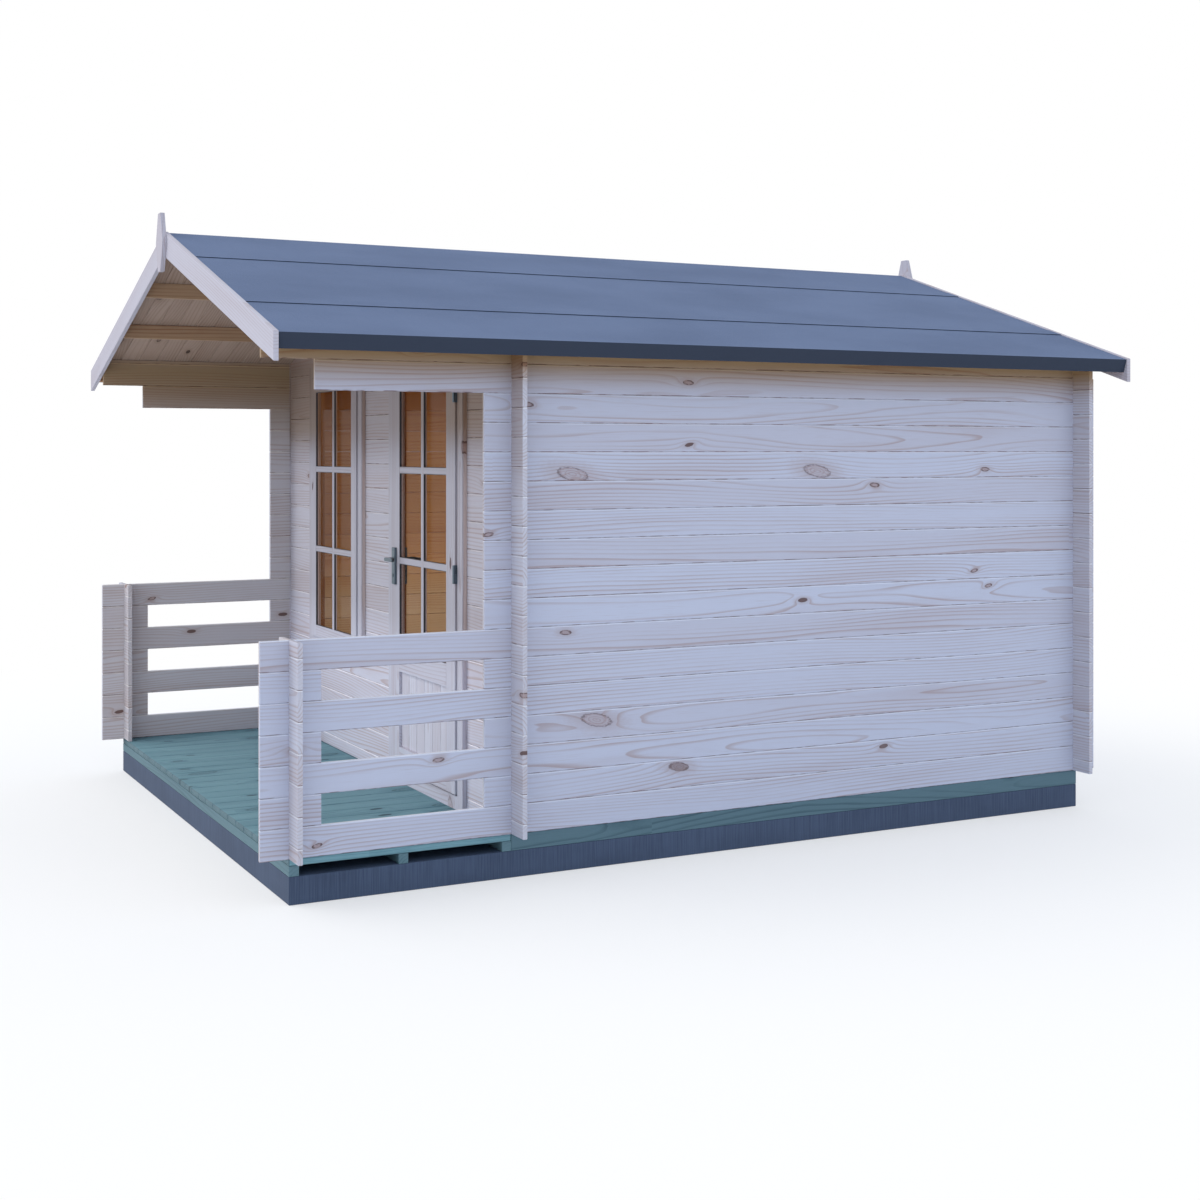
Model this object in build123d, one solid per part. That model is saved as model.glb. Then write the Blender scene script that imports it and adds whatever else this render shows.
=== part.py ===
from build123d import *
import math
import os

# Log cabin with a covered porch, built of interlocking logs that stand on a plinth.
# Millimetres. +Z is up, the front faces -Y, and the origin is the centre of the plinth's underside.

# Plinth, porch deck and floor
base_width = 2870
base_length = 3700
plinth_height = 102
joist_size = 38
deck_thickness = 25
porch_depth = 870
bearer_width = 44
inner_bearers = 3
floor_thickness = 19
floor_margin = 6

# Logs
log_height = 112
log_thickness = 19
log_chamfer = 2.5
log_end = 105
wall_courses = 17
rail_courses = 7
rail_block_length = 225
stub_length = 110
corbel_reach = 773
post_log_inside = 105

# Roof
roof_pitch = 17.75
eave_log_rise = 11
eave_reach = 209
gable_reach = 101
roof_board_thickness = 19
purlin_width = 44
purlin_depth = 66
purlin_spacing = 487
purlins_each_slope = 2
eave_batten_depth = 37
eave_batten_thickness = 19
felt_thickness = 3
felt_lap = 75
felt_ramp = 12
ridge_felt_edge = 500
middle_felt_edge = 1286
barge_thickness = 19
barge_depth = 100
barge_above_felt = 5
barge_past_felt = 3
finial_height = 252
finial_width = 124
finial_end_width = 44
finial_above_barge = 78

# Window and door
head_courses = 16
sill_courses = 4
frame_proud = 20
frame_overlap = 35
frame_web = 20
frame_inner_depth = 20
frame_stop = 12
sash_proud = 8
window_centre = -626
window_sash_width = 684
window_gap = 3
sash_stile = 71
sash_bottom_rail = 58
glass_thickness = 4
glass_set_back = 18
glazing_rebate = 28
door_centre = 570
door_width = 737
door_gap = 6.5
door_sill_height = 56
door_thickness = 38
door_stile = 95
door_top_rail = 70
door_lock_rail = 95
door_bottom_rail = 95
door_glass_bottom = 750
door_panel_thickness = 14

# Hinges and lever handle
hinge_radius = 5.5
hinge_length = 75
hinge_end_chamfer = 1.5
hinge_plate_depth = 30
hinge_plate_thickness = 2
hinge_from_end = 126
hinge_below_lever = 24
hinge_clearance = 0.5
plate_width = 36
plate_height = 162
plate_thickness = 12
plate_chamfer = 2
lever_height = 982
lever_below_plate_top = 51
spindle_size = 8
neck_radius = 7.5
neck_length = 26
grip_length = 95
grip_height = 16
grip_thickness = 12

# Fits
seat_gap = 0.3
log_gap = 0.4
notch_clearance = 0.3
opening_clearance = 0.5
spindle_clearance = 0.5
overrun = 50

# Levels and planes worked out from the sizes above
half_width = base_width / 2
half_length = base_length / 2
deck_top = plinth_height + joist_size + deck_thickness
log_base = deck_top
wall_top = log_base + wall_courses * log_height
rail_top = log_base + rail_courses * log_height
front_face = -half_length + porch_depth
front_centre = front_face + log_thickness / 2
rear_centre = half_length - log_thickness / 2
post_centre = -half_length + log_thickness / 2
side_centre = half_width - log_thickness / 2
pitch_tan = math.tan(math.radians(roof_pitch))
pitch_cos = math.cos(math.radians(roof_pitch))
pitch_sin = math.sin(math.radians(roof_pitch))
gable_end = half_length + gable_reach
cross_base = log_base + log_height / 2
opening_top = cross_base + head_courses * log_height
opening_sill = cross_base + sill_courses * log_height
frame_inner_top = opening_top - opening_clearance - frame_web
frame_front = front_face - frame_proud
wall_front = front_face - opening_clearance
wall_back = front_face + log_thickness + opening_clearance
frame_back = wall_back + frame_inner_depth
leaf_front = frame_front - sash_proud
door_sill_top = deck_top + door_sill_height
leaf_bottom = door_sill_top + door_gap
leaf_top = frame_inner_top - door_gap
lever_x = door_centre - door_width / 2 + door_stile / 2
lever_z = deck_top + lever_height


def block(x, y, z):
    """A plain block between the two ends given for each axis."""
    size = [end - start for start, end in (x, y, z)]
    middle = [(start + end) / 2 for start, end in (x, y, z)]
    return Pos(*middle) * Box(*size)


def prism(points, start, end):
    """A solid with the given X and Z outline, running along Y from start to end."""
    plane = Plane(origin=(0, start, 0), x_dir=(-1, 0, 0), z_dir=(0, 1, 0))
    outline = [(-x, z) for x, z in points]
    return extrude(plane * make_face(Polyline(*outline, close=True)), amount=end - start)


def mirrored(solids):
    """The same solids on the other side of the cabin."""
    return [mirror(solid, about=Plane.YZ) for solid in solids]


def save(node, solids):
    """Write one node as its solids."""
    export_step(Compound(solids), os.path.join("parts", node + ".step"))


def underside(x):
    """Height of the underside of the roof boards at a distance x from the ridge."""
    return wall_top + eave_log_rise + (half_width - abs(x)) * pitch_tan


# Logs: a chamfered bar, notched above and below wherever another wall's logs cross it
def log_bar(run, start, end, centre, bottom, height):
    """A log between two places along its run, with its four long edges chamfered."""
    half = log_thickness / 2
    top = height - log_gap
    inner = half - log_chamfer
    profile = [
        (-inner, 0),
        (inner, 0),
        (half, log_chamfer),
        (half, top - log_chamfer),
        (inner, top),
        (-inner, top),
        (-half, top - log_chamfer),
        (-half, log_chamfer),
    ]
    if run == "x":
        plane = Plane(origin=(start, centre, bottom), x_dir=(0, 1, 0), z_dir=(1, 0, 0))
    else:
        plane = Plane(origin=(centre, start, bottom), x_dir=(-1, 0, 0), z_dir=(0, 1, 0))
    return extrude(plane * make_face(Polyline(*profile, close=True)), amount=end - start)


def notch_pair(run, crossing, centre, bottom, height, above=True, below=True):
    """The cuts, a quarter of a log deep, that let a crossing log drop into this one."""
    reach = log_thickness / 2 + notch_clearance
    along = (crossing - reach, crossing + reach)
    across = (centre - log_thickness, centre + log_thickness)
    depth = log_height / 4
    top = bottom + height - log_gap
    spans = []
    if below:
        spans.append((bottom - overrun, bottom + depth))
    if above:
        spans.append((top - depth, top + overrun))
    if run == "x":
        return [block(along, across, span) for span in spans]
    return [block(across, along, span) for span in spans]


def notched_log(run, start, end, centre, bottom, height, crossings, above=True, below=True):
    """A log with its notches at each of the crossing walls."""
    cuts = []
    for crossing in crossings:
        cuts += notch_pair(run, crossing, centre, bottom, height, above, below)
    return log_bar(run, start, end, centre, bottom, height) - cuts


def lifted(log, courses):
    """The same log, some courses higher."""
    return Pos(0, 0, courses * log_height) * log


# Plinth, porch joists and deck, bearers and floor
def base():
    """The ground works: everything that lies below or between the walls."""
    save("base_plinth", [block((-half_width, half_width), (-half_length, half_length), (0, plinth_height))])

    joist_z = (plinth_height + seat_gap, plinth_height + joist_size)
    joist_places = [
        -half_length + joist_size / 2,
        (front_face - half_length) / 2,
        front_face - joist_size / 2,
    ]
    joists = []
    for place in joist_places:
        joist_y = (place - joist_size / 2, place + joist_size / 2)
        joists.append(block((-half_width, half_width), joist_y, joist_z))
    save("porch_joists", joists)

    deck_z = (plinth_height + joist_size + seat_gap, deck_top - seat_gap)
    deck_y = (-half_length, front_face - seat_gap)
    save("porch_deck", [block((-half_width, half_width), deck_y, deck_z)])

    bearer_z = (plinth_height + seat_gap, deck_top - seat_gap)
    bearer_y = (front_face, half_length)
    side_bearer = block((half_width - bearer_width, half_width), bearer_y, bearer_z)
    bearers = [side_bearer] + mirrored([side_bearer])
    inner_x = half_width - bearer_width - seat_gap
    for cross_y in (
        (front_face, front_face + bearer_width),
        (half_length - bearer_width, half_length),
    ):
        bearers.append(block((-inner_x, inner_x), cross_y, bearer_z))
    inner_y = (front_face + bearer_width + seat_gap, half_length - bearer_width - seat_gap)
    spacing = 2 * half_width / (inner_bearers + 1)
    for number in range(inner_bearers):
        place = -half_width + (number + 1) * spacing
        inner_bearer_x = (place - bearer_width / 2, place + bearer_width / 2)
        bearers.append(block(inner_bearer_x, inner_y, bearer_z))
    save("floor_bearers", bearers)

    floor_x = half_width - log_thickness - floor_margin
    floor_y = (front_face + log_thickness + floor_margin, half_length - log_thickness - floor_margin)
    save("floor_boards", [block((-floor_x, floor_x), floor_y, (deck_top, deck_top + floor_thickness))])


# Side walls: courses 1, 3, 5 and 7 run on to the front as porch rails
def eave_log():
    """The top log of the right wall, bevelled to the roof."""
    bottom = log_base + (wall_courses - 1) * log_height
    inner = half_width - log_thickness
    points = [
        (inner + log_chamfer, bottom),
        (half_width - log_chamfer, bottom),
        (half_width, bottom + log_chamfer),
        (half_width, underside(half_width) - seat_gap),
        (inner, underside(inner) - seat_gap),
        (inner, bottom + log_chamfer),
    ]
    reach = gable_end - seat_gap
    cuts = []
    for crossing in (front_centre, rear_centre):
        cuts += notch_pair("y", crossing, side_centre, bottom, log_height)
    return prism(points, -reach, reach) - cuts


def side_walls():
    """Both long walls, with their rails and the short blocks between the rails."""
    outer_end = half_length + log_end
    stub_start = front_face - stub_length
    both_ends = [front_centre, rear_centre]
    rail = notched_log(
        "y", -outer_end, outer_end, side_centre, log_base, log_height, [post_centre] + both_ends
    )
    short = notched_log("y", stub_start, outer_end, side_centre, log_base, log_height, both_ends)
    corbel_start = front_face - corbel_reach
    corbel = notched_log("y", corbel_start, outer_end, side_centre, log_base, log_height, both_ends)
    rail_block = notched_log(
        "y", -outer_end, -outer_end + rail_block_length, side_centre, log_base, log_height, [post_centre]
    )

    logs = []
    blocks = []
    for course in range(wall_courses - 1):
        if course < rail_courses and course % 2 == 0:
            logs.append(lifted(rail, course))
        elif course == wall_courses - 2:
            logs.append(lifted(corbel, course))
        else:
            logs.append(lifted(short, course))
        if course < rail_courses and course % 2 == 1:
            blocks.append(lifted(rail_block, course))
    logs.append(eave_log())
    save("right_wall", logs)
    save("left_wall", mirrored(logs))
    save("right_rail_blocks", blocks)
    save("left_rail_blocks", mirrored(blocks))


# Porch corners: short cross logs, half a course out of step with the rails
def porch_corners():
    """The stacks of short logs that carry the front ends of the rails."""
    start = half_width - log_thickness - post_log_inside
    end = half_width + log_end
    half_log = log_height / 2
    logs = [
        notched_log("x", start, end, post_centre, log_base, half_log, [side_centre], below=False),
        notched_log("x", start, end, post_centre, rail_top - half_log, half_log, [side_centre], above=False),
    ]
    full = notched_log("x", start, end, post_centre, cross_base, log_height, [side_centre])
    logs += [lifted(full, course) for course in range(rail_courses - 1)]
    save("right_porch_corner", logs)
    save("left_porch_corner", mirrored(logs))


# Front and rear walls and their gables
def purlin_places():
    """Distance of each purlin's centre from the ridge, from left to right."""
    count = purlins_each_slope
    return [number * purlin_spacing for number in range(-count, count + 1)]


def purlin_outline(place, growth):
    """The X and Z outline of a purlin, bevelled on top to the roof, grown all round by growth."""
    left = place - purlin_width / 2
    right = place + purlin_width / 2
    high = max(underside(left), underside(right))
    bottom = high - purlin_depth - growth
    outline = [(left - growth, bottom), (right + growth, bottom), (right + growth, underside(right) + growth)]
    if left < 0 < right:
        outline.append((0, underside(0) + growth))
    outline.append((left - growth, underside(left) + growth))
    return outline


def roof_space(start, end):
    """Everything above the underside of the roof, for cutting the gables to the slope."""
    reach = half_width + log_end + overrun
    high = underside(0) + overrun
    points = [
        (-reach, underside(reach) - seat_gap),
        (0, underside(0) - seat_gap),
        (reach, underside(reach) - seat_gap),
        (reach, high),
        (-reach, high),
    ]
    return prism(points, start, end)


def cross_wall(centre):
    """The plain logs of a front or rear wall up to the gable, bottom log first."""
    end = half_width + log_end
    corners = [-side_centre, side_centre]
    bottom = notched_log("x", -end, end, centre, log_base, log_height / 2, corners, below=False)
    full = notched_log("x", -end, end, centre, cross_base, log_height, corners)
    return [bottom] + [lifted(full, course) for course in range(head_courses)]


def gable(centre):
    """The logs above the wall, cut to the roof's slope and round the purlins."""
    span = (centre - log_thickness, centre + log_thickness)
    cuts = [roof_space(*span)]
    cuts += [prism(purlin_outline(place, notch_clearance), *span) for place in purlin_places()]
    end = half_width + log_end
    corners = [-side_centre, side_centre]
    logs = []
    bottom = opening_top
    while bottom + log_gap < underside(0):
        if logs:
            log = log_bar("x", -end, end, centre, bottom, log_height)
        else:
            log = notched_log("x", -end, end, centre, bottom, log_height, corners, above=False)
        logs += (log - cuts).solids()
        bottom += log_height
    return logs


def opening_x(centre, width, gap):
    """The two sides of the hole that a frame needs in the wall."""
    reach = width / 2 + gap + frame_web + opening_clearance
    return (centre - reach, centre + reach)


def end_walls():
    """The front wall, split at its window and doorway, the rear wall and both gables."""
    save("rear_wall", cross_wall(rear_centre))
    save("rear_gable", gable(rear_centre))
    save("front_gable", gable(front_centre))

    window_x = opening_x(window_centre, window_sash_width, window_gap)
    door_x = opening_x(door_centre, door_width, door_gap)
    wall_y = (front_centre - log_thickness, front_centre + log_thickness)
    holes = [
        block(window_x, wall_y, (opening_sill, opening_top + overrun)),
        block(door_x, wall_y, (log_base - overrun, opening_top + overrun)),
    ]
    groups = {"left": [], "below_window": [], "middle": [], "right": []}
    for log in cross_wall(front_centre):
        for piece in (log - holes).solids():
            box = piece.bounding_box()
            if box.min.X > door_centre:
                groups["right"].append(piece)
            elif box.min.X > window_centre:
                groups["middle"].append(piece)
            elif box.max.X > window_centre:
                groups["below_window"].append(piece)
            else:
                groups["left"].append(piece)
    for place, pieces in groups.items():
        save("front_wall_" + place, pieces)


# Roof: purlins, boards, eave battens, felt, barge boards and finials
def slope_point(along, out):
    """X and Z of a point along the slope from the ridge and out from the top of the roof boards."""
    ridge = underside(0) + seat_gap + roof_board_thickness / pitch_cos
    return (along * pitch_cos + out * pitch_sin, ridge - along * pitch_sin + out * pitch_cos)


def roof():
    """The roof's pieces; those of the right slope are mirrored to the left."""
    reach = gable_end - seat_gap
    purlins = []
    for place in purlin_places():
        purlins.append(prism(purlin_outline(place, -seat_gap), -reach, reach))
    save("roof_purlins", purlins)

    boards_end = (half_width + eave_reach) / pitch_cos
    boards_under = -roof_board_thickness
    board_points = [
        (seat_gap, 0),
        (boards_end, 0),
        (boards_end, boards_under),
        (seat_gap - boards_under * pitch_tan, boards_under),
    ]
    boards = prism([slope_point(*point) for point in board_points], -reach, reach)
    save("roof_boards_right", [boards])
    save("roof_boards_left", mirrored([boards]))

    batten_top = boards_under - seat_gap
    batten_bottom = batten_top - eave_batten_depth
    batten_points = [
        (boards_end - eave_batten_thickness, batten_top),
        (boards_end, batten_top),
        (boards_end, batten_bottom),
        (boards_end - eave_batten_thickness, batten_bottom),
    ]
    batten = prism([slope_point(*point) for point in batten_points], -reach, reach)
    save("eave_battens", [batten] + mirrored([batten]))

    under = seat_gap
    over = under + felt_thickness
    lap_under = over + seat_gap
    lap_over = lap_under + felt_thickness
    lower_top = middle_felt_edge - felt_lap
    lower_points = [
        (lower_top, under),
        (boards_end + under, under),
        (boards_end + under, batten_bottom),
        (boards_end + over, batten_bottom),
        (boards_end + over, over),
        (lower_top, over),
    ]
    middle_top = ridge_felt_edge - felt_lap
    middle_points = [
        (middle_top, under),
        (lower_top - felt_ramp, under),
        (lower_top, lap_under),
        (middle_felt_edge, lap_under),
        (middle_felt_edge, lap_over),
        (lower_top - felt_ramp / 2, lap_over),
        (lower_top - 2 * felt_ramp, over),
        (middle_top, over),
    ]
    strips = []
    for points in (lower_points, middle_points):
        strips.append(prism([slope_point(*point) for point in points], -reach, reach))
    save("felt_right", strips)
    save("felt_left", mirrored(strips))

    ridge_points = [
        (-under * pitch_tan, under),
        (middle_top - felt_ramp, under),
        (middle_top, lap_under),
        (ridge_felt_edge, lap_under),
        (ridge_felt_edge, lap_over),
        (middle_top - felt_ramp / 2, lap_over),
        (middle_top - 2 * felt_ramp, over),
        (-over * pitch_tan, over),
    ]
    right_half = [slope_point(*point) for point in ridge_points]
    left_half = [(-x, z) for x, z in reversed(right_half[1:-1])]
    save("felt_ridge", [prism(right_half + left_half, -reach, reach)])

    felt_edge = slope_point(boards_end + over, over)[0]
    barge_top = slope_point(-over * pitch_tan, over)[1] + barge_above_felt
    barge_end = felt_edge + barge_past_felt
    barge_drop = barge_depth / pitch_cos
    barge_points = [
        (seat_gap, barge_top - seat_gap * pitch_tan),
        (barge_end, barge_top - barge_end * pitch_tan),
        (barge_end, barge_top - barge_end * pitch_tan - barge_drop),
        (seat_gap, barge_top - seat_gap * pitch_tan - barge_drop),
    ]
    finial_top = barge_top + finial_above_barge
    finial_middle = finial_top - finial_height / 2
    finial_bottom = finial_top - finial_height
    finial_points = [
        (-finial_end_width / 2, finial_bottom),
        (finial_end_width / 2, finial_bottom),
        (finial_width / 2, finial_middle),
        (finial_end_width / 2, finial_top),
        (-finial_end_width / 2, finial_top),
        (-finial_width / 2, finial_middle),
    ]
    barge_face = gable_end + barge_thickness
    finial_back = barge_face + seat_gap
    finial_face = finial_back + barge_thickness
    front_barge = prism(barge_points, -barge_face, -gable_end)
    rear_barge = prism(barge_points, gable_end, barge_face)
    save("front_barge_boards", [front_barge] + mirrored([front_barge]))
    save("rear_barge_boards", [rear_barge] + mirrored([rear_barge]))
    save("front_finial", [prism(finial_points, -finial_face, -finial_back)])
    save("rear_finial", [prism(finial_points, finial_back, finial_face)])


# Frames: each member grips the log ends between an outer and an inner lip
def plan_prism(points, bottom, top):
    """A solid with the given X and Y outline, standing from bottom to top."""
    plane = Plane(origin=(0, 0, bottom), x_dir=(1, 0, 0), z_dir=(0, 0, 1))
    return extrude(plane * make_face(Polyline(*points, close=True)), amount=top - bottom)


def cross_prism(points, start, end):
    """A solid with the given Y and Z outline, running along X from start to end."""
    plane = Plane(origin=(start, 0, 0), x_dir=(0, 1, 0), z_dir=(1, 0, 0))
    return extrude(plane * make_face(Polyline(*points, close=True)), amount=end - start)


def member_profile():
    """A frame member's outline: distance out from the opening's inner face, and Y."""
    lip = frame_web + frame_overlap
    return [
        (0, frame_front),
        (lip, frame_front),
        (lip, wall_front),
        (frame_web, wall_front),
        (frame_web, wall_back),
        (lip, wall_back),
        (lip, frame_back),
        (-frame_stop, frame_back),
        (-frame_stop, wall_back),
        (0, wall_back),
    ]


def jambs(centre, half, foot, web_bottom, top):
    """The two upright members of a frame, with lips that run on past the hole in the wall."""
    height = top + frame_web + frame_overlap
    wall = [
        block((-half_width, half_width), (wall_front, wall_back), span)
        for span in ((foot - overrun, web_bottom), (top + frame_web, height + overrun))
    ]
    right = [(centre + half + out, y) for out, y in member_profile()]
    left = [(centre - half - out, y) for out, y in member_profile()]
    return [plan_prism(points, foot, height) - wall for points in (left, right)]


def between_jambs(member, centre, half):
    """A head or sill, cut clear of the stops on the jambs."""
    stop_y = (wall_back - seat_gap, frame_back + overrun)
    inner = half - frame_stop - seat_gap
    cuts = []
    for stop_x in ((centre - half, centre - inner), (centre + inner, centre + half)):
        cuts.append(block(stop_x, stop_y, (0, opening_top + overrun)))
    return member - cuts


def head(centre, half, top):
    """The top member of a frame."""
    points = [(y, top + out) for out, y in member_profile()]
    member = cross_prism(points, centre - half + seat_gap, centre + half - seat_gap)
    return between_jambs(member, centre, half)


# Window: a fixed sash, shut against the frame's stop
def window():
    """The window's frame, sash and glass."""
    half = window_sash_width / 2 + window_gap
    bottom = opening_sill + opening_clearance + frame_web
    sill_points = [(y, bottom - out) for out, y in member_profile()]
    sill = cross_prism(sill_points, window_centre - half + seat_gap, window_centre + half - seat_gap)
    web_bottom = bottom - frame_web
    members = jambs(window_centre, half, web_bottom - frame_overlap, web_bottom, frame_inner_top)
    members.append(head(window_centre, half, frame_inner_top))
    members.append(between_jambs(sill, window_centre, half))
    save("window_frame", members)

    sash_y = (leaf_front, wall_back - seat_gap)
    sash_z = (bottom + window_gap, frame_inner_top - window_gap)
    outer = window_sash_width / 2
    inner = outer - sash_stile
    glass_x = (window_centre - inner, window_centre + inner)
    glass_z = (sash_z[0] + sash_bottom_rail, sash_z[1] - sash_stile)
    rail_x = (glass_x[0] + seat_gap, glass_x[1] - seat_gap)
    pieces = [
        block((window_centre - outer, window_centre - inner), sash_y, sash_z),
        block((window_centre + inner, window_centre + outer), sash_y, sash_z),
        block(rail_x, sash_y, (sash_z[0], glass_z[0])),
        block(rail_x, sash_y, (glass_z[1], sash_z[1])),
    ]
    save("window_sash", rebated(pieces, glass_x, glass_z))
    save("window_glass", [glass_pane(glass_x, glass_z)])


def rebated(pieces, glass_x, glass_z):
    """Stiles and rails with a rebate on their inner side, round the hole that shows."""
    rebate_x = (glass_x[0] - glazing_rebate, glass_x[1] + glazing_rebate)
    rebate_z = (glass_z[0] - glazing_rebate, glass_z[1] + glazing_rebate)
    rebate = block(rebate_x, (leaf_front + glass_set_back, frame_back), rebate_z)
    return [piece - rebate for piece in pieces]


def glass_pane(glass_x, glass_z):
    """The pane that lies in the rebate."""
    reach = glazing_rebate - seat_gap
    seat = leaf_front + glass_set_back + seat_gap
    pane_x = (glass_x[0] - reach, glass_x[1] + reach)
    pane_z = (glass_z[0] - reach, glass_z[1] + reach)
    return block(pane_x, (seat, seat + glass_thickness), pane_z)


# Door: a half-glazed leaf that opens outwards on three butt hinges
def door():
    """The door's frame with its sill, and the leaf's stiles, rails, panel and glass."""
    half = door_width / 2 + door_gap
    foot = deck_top + seat_gap
    sill_x = (door_centre - half + seat_gap, door_centre + half - seat_gap)
    sill = block(sill_x, (frame_front, frame_back), (foot, door_sill_top))
    floor_room = block(
        (-half_width, half_width),
        (wall_back - seat_gap, half_length),
        (0, deck_top + floor_thickness + seat_gap),
    )
    members = jambs(door_centre, half, foot, foot, frame_inner_top)
    members.append(head(door_centre, half, frame_inner_top))
    members.append(between_jambs(sill, door_centre, half))
    save("door_frame", [member - floor_room for member in members])

    leaf_y = (leaf_front, leaf_front + door_thickness)
    outer = door_width / 2
    inner = outer - door_stile
    glass_x = (door_centre - inner, door_centre + inner)
    rail_x = (glass_x[0] + seat_gap, glass_x[1] - seat_gap)
    glass_z = (door_glass_bottom, leaf_top - door_top_rail)
    panel_z = (leaf_bottom + door_bottom_rail, door_glass_bottom - door_lock_rail)
    pieces = [
        block((door_centre - outer, door_centre - inner), leaf_y, (leaf_bottom, leaf_top)) - spindle_hole(),
        block((door_centre + inner, door_centre + outer), leaf_y, (leaf_bottom, leaf_top)),
        block(rail_x, leaf_y, (glass_z[1], leaf_top)),
        block(rail_x, leaf_y, (panel_z[1], glass_z[0])),
        block(rail_x, leaf_y, (leaf_bottom, panel_z[0])),
    ]
    save("door_leaf", rebated(pieces, glass_x, glass_z))
    save("door_glass", [glass_pane(glass_x, glass_z)])
    panel_middle = leaf_front + door_thickness / 2
    panel_y = (panel_middle - door_panel_thickness / 2, panel_middle + door_panel_thickness / 2)
    save("door_panel", [block(rail_x, panel_y, (panel_z[0] + seat_gap, panel_z[1] - seat_gap))])


def hinge_half(axis, span, plate_x, outer_end):
    """Half of a hinge: a barrel, chamfered at its outer end, and the plate let in between leaf and frame."""
    axis_x, axis_y = axis
    bottom, top = span
    barrel = Pos(axis_x, axis_y, (bottom + top) / 2) * Cylinder(hinge_radius, top - bottom)
    barrel = chamfer(barrel.edges().sort_by(Axis.Z)[outer_end], hinge_end_chamfer)
    return barrel + block(plate_x, (axis_y, leaf_front + hinge_plate_depth), span)


def hinges():
    """Butt hinges: the lower half stands on the frame, the upper half hangs the leaf."""
    axis_x = door_centre + door_width / 2 + door_gap / 2
    axis_y = leaf_front - hinge_radius - hinge_clearance
    half = hinge_length / 2
    seat = door_gap / 2 - seat_gap
    face = seat - hinge_plate_thickness
    frame_plate_x = (axis_x + face, axis_x + seat)
    leaf_plate_x = (axis_x - seat, axis_x - face)
    fixed = []
    moving = []
    for middle in (leaf_bottom + hinge_from_end, lever_z - hinge_below_lever, leaf_top - hinge_from_end):
        low = (middle - half, middle - seat_gap / 2)
        high = (middle + seat_gap / 2, middle + half)
        fixed.append(hinge_half((axis_x, axis_y), low, frame_plate_x, 0))
        moving.append(hinge_half((axis_x, axis_y), high, leaf_plate_x, -1))
    save("door_hinges_frame_side", fixed)
    save("door_hinges_leaf_side", moving)


def along_y(shape, x, z, start, end):
    """A flat shape pushed along Y from start to end."""
    plane = Plane(origin=(x, start, z), x_dir=(-1, 0, 0), z_dir=(0, 1, 0))
    return extrude(plane * shape, amount=end - start)


def spindle_hole():
    """The hole for the lever's spindle, through the leaf and both plates."""
    reach = plate_thickness + overrun
    hole = Circle(math.hypot(spindle_size, spindle_size) / 2 + spindle_clearance)
    return along_y(hole, lever_x, lever_z, leaf_front - reach, leaf_front + door_thickness + reach)


def lever_handle():
    """The plates on both faces of the leaf, and the lever that turns in them."""
    leaf_back = leaf_front + door_thickness
    plate_z = lever_z + lever_below_plate_top - plate_height / 2
    plate = Rectangle(plate_width, plate_height)
    front = along_y(plate, lever_x, plate_z, leaf_front - plate_thickness, leaf_front - seat_gap)
    back = along_y(plate, lever_x, plate_z, leaf_back + seat_gap, leaf_back + plate_thickness)
    front = chamfer(front.faces().sort_by(Axis.Y)[0].edges(), plate_chamfer)
    back = chamfer(back.faces().sort_by(Axis.Y)[-1].edges(), plate_chamfer)
    save("handle_plates", [front - spindle_hole(), back - spindle_hole()])

    neck_front = leaf_front - plate_thickness - seat_gap
    neck_back = leaf_back + plate_thickness + seat_gap
    grip_front = neck_front - neck_length
    grip_back = neck_back + neck_length
    grip = SlotOverall(grip_length, grip_height)
    grip_x = lever_x - grip_height / 2 + grip_length / 2
    lever = along_y(Rectangle(spindle_size, spindle_size), lever_x, lever_z, grip_front, grip_back)
    lever += along_y(Circle(neck_radius), lever_x, lever_z, grip_front, neck_front)
    lever += along_y(Circle(neck_radius), lever_x, lever_z, neck_back, grip_back)
    lever += along_y(grip, grip_x, lever_z, grip_front - grip_thickness, grip_front)
    lever += along_y(grip, grip_x, lever_z, grip_back, grip_back + grip_thickness)
    save("lever_handle", [lever])


os.makedirs("parts", exist_ok=True)
base()
side_walls()
porch_corners()
end_walls()
roof()
window()
door()
hinges()
lever_handle()
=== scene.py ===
import math

import bpy
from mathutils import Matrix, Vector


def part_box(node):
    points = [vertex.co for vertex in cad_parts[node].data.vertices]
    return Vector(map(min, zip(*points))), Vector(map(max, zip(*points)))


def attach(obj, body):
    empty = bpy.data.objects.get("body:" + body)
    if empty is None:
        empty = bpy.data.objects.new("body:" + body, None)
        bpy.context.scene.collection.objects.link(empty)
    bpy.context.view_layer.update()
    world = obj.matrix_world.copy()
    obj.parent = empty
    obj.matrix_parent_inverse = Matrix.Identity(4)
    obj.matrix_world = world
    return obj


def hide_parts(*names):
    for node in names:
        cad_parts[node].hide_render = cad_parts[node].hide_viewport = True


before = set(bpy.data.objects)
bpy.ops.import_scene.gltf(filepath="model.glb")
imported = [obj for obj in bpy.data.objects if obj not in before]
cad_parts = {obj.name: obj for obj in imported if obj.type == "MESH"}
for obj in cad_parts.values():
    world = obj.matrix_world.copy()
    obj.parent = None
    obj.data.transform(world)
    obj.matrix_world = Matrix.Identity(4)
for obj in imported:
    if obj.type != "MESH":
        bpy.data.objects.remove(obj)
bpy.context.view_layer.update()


# Plinth: the cast base that carries the whole cabin.
# Its dark coat was drawn on with a brush, which leaves fine upright streaks on the sides.
plinth_tone = (0.060, 0.091, 0.160, 1)
plinth_streak = (0.036, 0.057, 0.107, 1)
plinth_edge = 0.003
coat_streaks = (260, 260, 5)
coat_streak_share = 0.75
coat_clouds = (2.2, 2.2, 6)
coat_cloud_share = 0.35
coat_step = (0.38, 0.72)
coat_roughness = 0.8
coat_depth = 0.0006
weld_reach = 0.00002


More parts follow.
